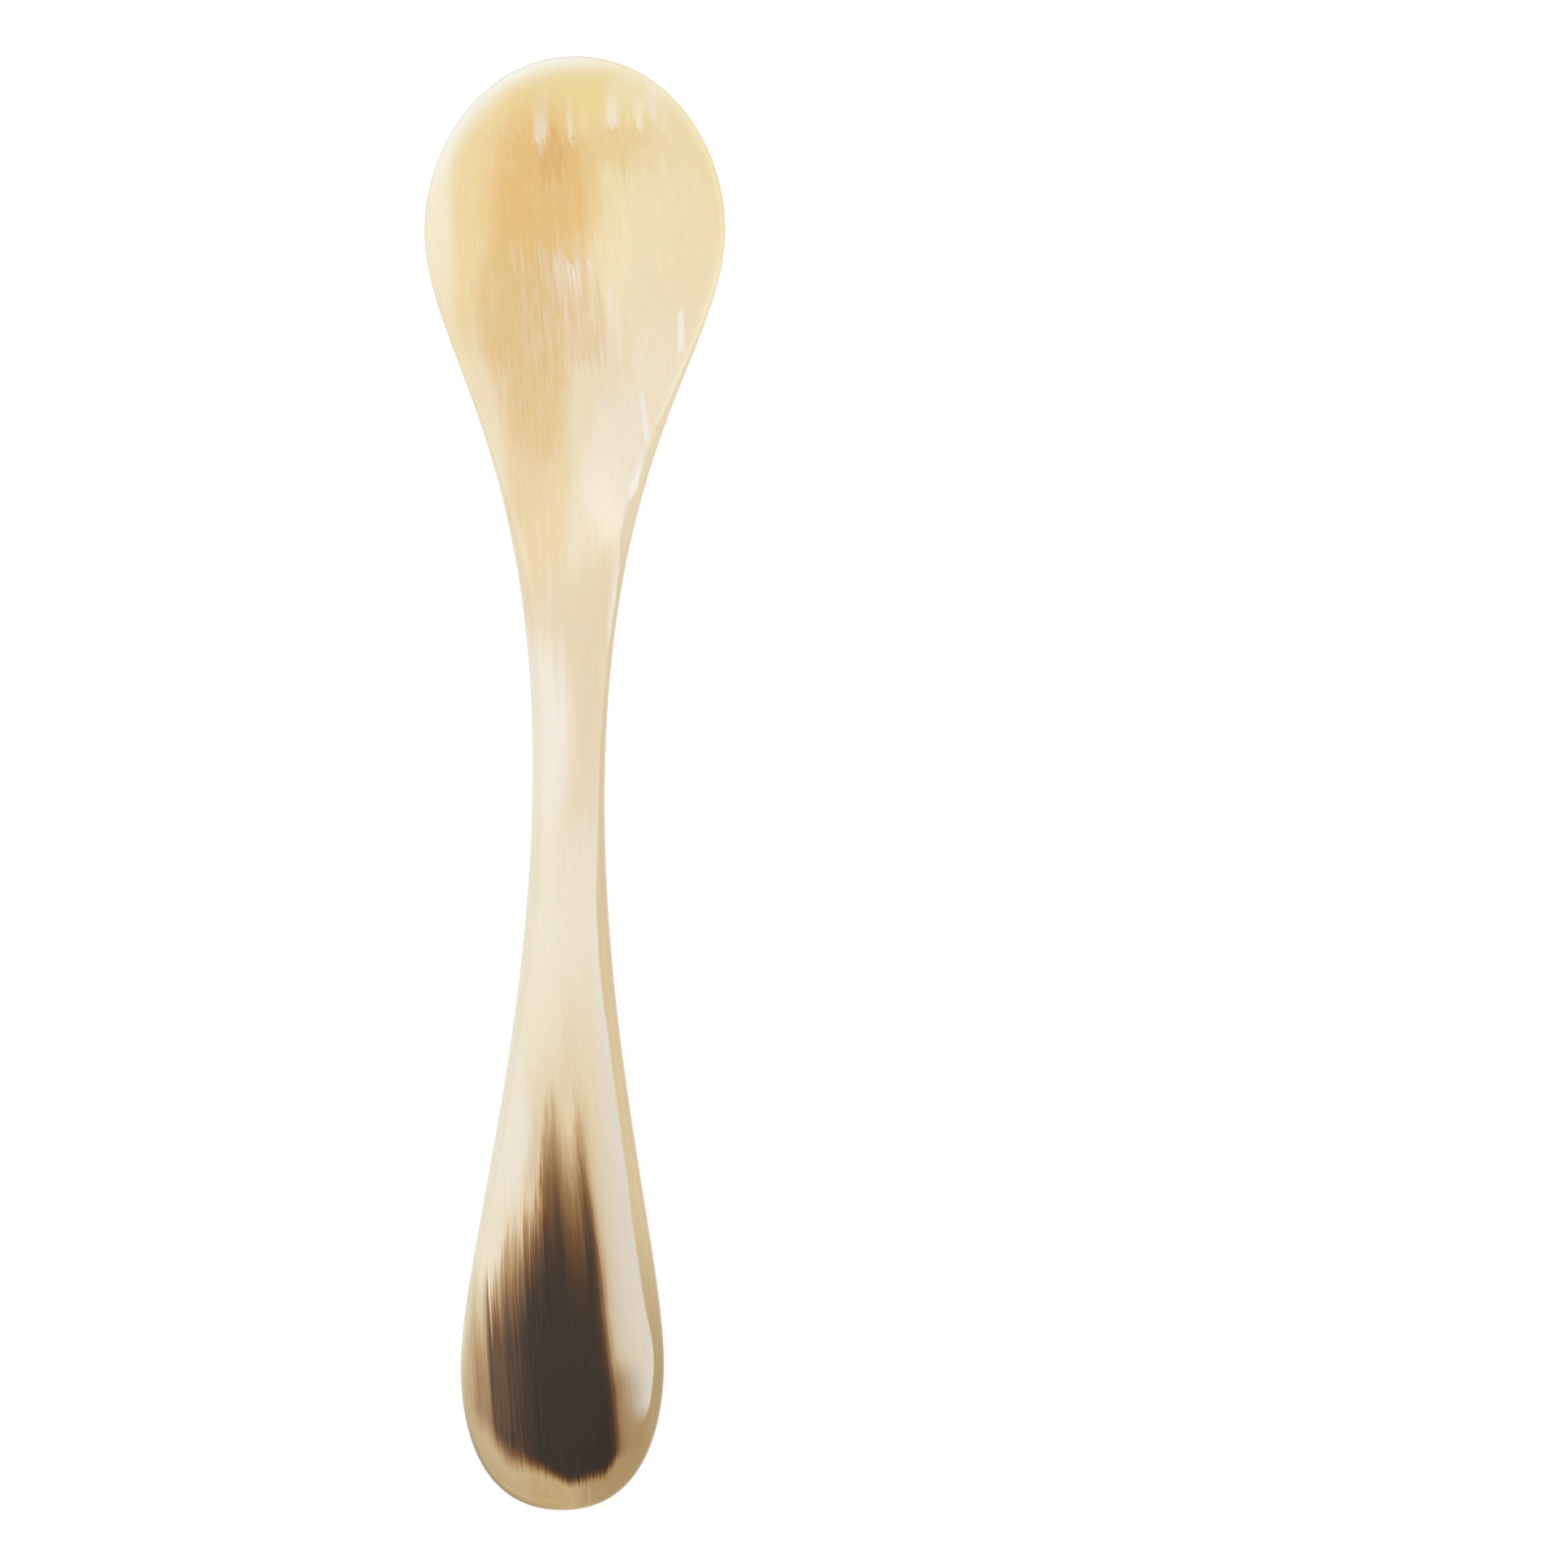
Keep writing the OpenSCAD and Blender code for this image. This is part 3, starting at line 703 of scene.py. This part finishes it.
def makeFloor(look):
    mesh = bpy.data.meshes.new("table")
    side = look["half"]
    corners = np.array([(-1, -1, 0), (1, -1, 0), (1, 1, 0), (-1, 1, 0)]) * side
    mesh.from_pydata(corners, [], [(0, 1, 2, 3)])
    floor = bpy.data.objects.new("table", mesh)
    scene.collection.objects.link(floor)
    material = bpy.data.materials.new("white_table")
    material.use_nodes = True
    tree = material.node_tree
    tree.nodes.remove(tree.nodes["Principled BSDF"])
    plain = addNode(tree, "ShaderNodeBsdfDiffuse")
    plain.inputs["Color"].default_value = (*[look["colour"]] * 3, 1)
    thin = addNode(tree, "ShaderNodeBsdfDiffuse")
    thin.inputs["Color"].default_value = (*[look["seenColour"]] * 3, 1)
    glow = addNode(tree, "ShaderNodeEmission")
    glow.inputs["Strength"].default_value = look["seenGlow"]
    seen = addNode(tree, "ShaderNodeAddShader")
    plug(tree, seen.inputs[0], thin.outputs[0])
    plug(tree, seen.inputs[1], glow.outputs[0])
    path = addNode(tree, "ShaderNodeLightPath")
    glossy = calc(tree, "MAXIMUM", path.outputs["Is Glossy Ray"], path.outputs["Is Transmission Ray"])
    mix = addNode(tree, "ShaderNodeMixShader")
    plug(tree, mix.inputs[0], calc(tree, "MAXIMUM", path.outputs["Is Camera Ray"], glossy))
    plug(tree, mix.inputs[1], plain.outputs[0])
    plug(tree, mix.inputs[2], seen.outputs[0])
    plug(tree, tree.nodes["Material Output"].inputs["Surface"], mix.outputs[0])
    mesh.materials.append(material)
    print("table:", 2 * side, "m square")


makeFloor(floorLook)


# Lamps and world

softboxes = {                    # direction, metres away, size across and up, watts
    "key_softbox": ((-0.37, 0.06, 1.0), 0.8, (0.75, 0.40), 1.0),
    "top_softbox": ((-0.06, 0.40, 1.0), 0.8, (0.34, 0.25), 0.35),
    "right_softbox": ((1.0, -0.05, 0.42), 0.8, (0.80, 0.50), 0.9),
    "tip_lamp_1": ((0.36, -0.71, 0.60), 0.8, (0.05, 0.32), 0.12),
    "tip_lamp_2": ((-0.06, -0.83, 0.56), 0.8, (0.04, 0.28), 0.10),
    "tip_lamp_3": ((-0.33, -0.86, 0.38), 0.8, (0.07, 0.28), 0.12),
    "tip_lamp_4": ((-0.56, -0.77, 0.29), 0.8, (0.04, 0.20), 0.12),
}
worldStrength = 0.705


def addSoftbox(name, direction, distance, size, power):
    # an area lamp at a distance along a direction from the spoon, turned to face it
    light = bpy.data.lights.new(name, "AREA")
    light.shape = "RECTANGLE"
    light.size, light.size_y = size
    light.energy = power
    lamp = bpy.data.objects.new(name, light)
    way = Vector(direction).normalized()
    lamp.location = way * distance
    lamp.rotation_euler = way.to_track_quat("Z", "Y").to_euler()
    scene.collection.objects.link(lamp)


for name, box in softboxes.items():
    addSoftbox(name, *box)

world = bpy.data.worlds.new("studio")
scene.world = world
world.use_nodes = True
world.node_tree.nodes["Background"].inputs["Color"].default_value = (1, 1, 1, 1)
world.node_tree.nodes["Background"].inputs["Strength"].default_value = worldStrength
print("lamps:", len(softboxes), "and a white world")


# Camera straight above, where the photograph has it

view = {
    "framePx": 1932,
    "tipPx": (710.9, 70.0),
    "endPx": (690.7, 1861.5),
    "lens": 1000.0,              # so far off that the outline shows as it is drawn
    "sensor": 36.0,
    "lookHeight": 0.004,
}


def placeCamera(v):
    # The spoon's tip and end fall on their two pixels: frame width = length * frame / distance
    # between the pixels, and distance = frame width * lens / sensor.
    tip, end = np.array(v["tipPx"]), np.array(v["endPx"])
    run = end - tip
    perPx = spoonLength * mm / np.linalg.norm(run)
    distance = v["framePx"] * perPx * v["lens"] / v["sensor"]
    roll = math.atan2(-run[0], run[1])
    off = ((tip + end) / 2 - v["framePx"] / 2) * perPx
    right = np.array([math.cos(roll), math.sin(roll)])       # the camera's own right, from above
    above = np.array([-math.sin(roll), math.cos(roll)])
    middle = -off[0] * right + off[1] * above
    data = bpy.data.cameras.new("camera")
    data.lens, data.sensor_width = v["lens"], v["sensor"]
    camera = bpy.data.objects.new("camera", data)
    camera.location = (middle[0], middle[1], distance + v["lookHeight"])
    camera.rotation_euler = (0, 0, roll)
    scene.collection.objects.link(camera)
    scene.camera = camera
    print("camera:", round(distance, 3), "m up, roll", round(math.degrees(roll), 3))


placeCamera(view)
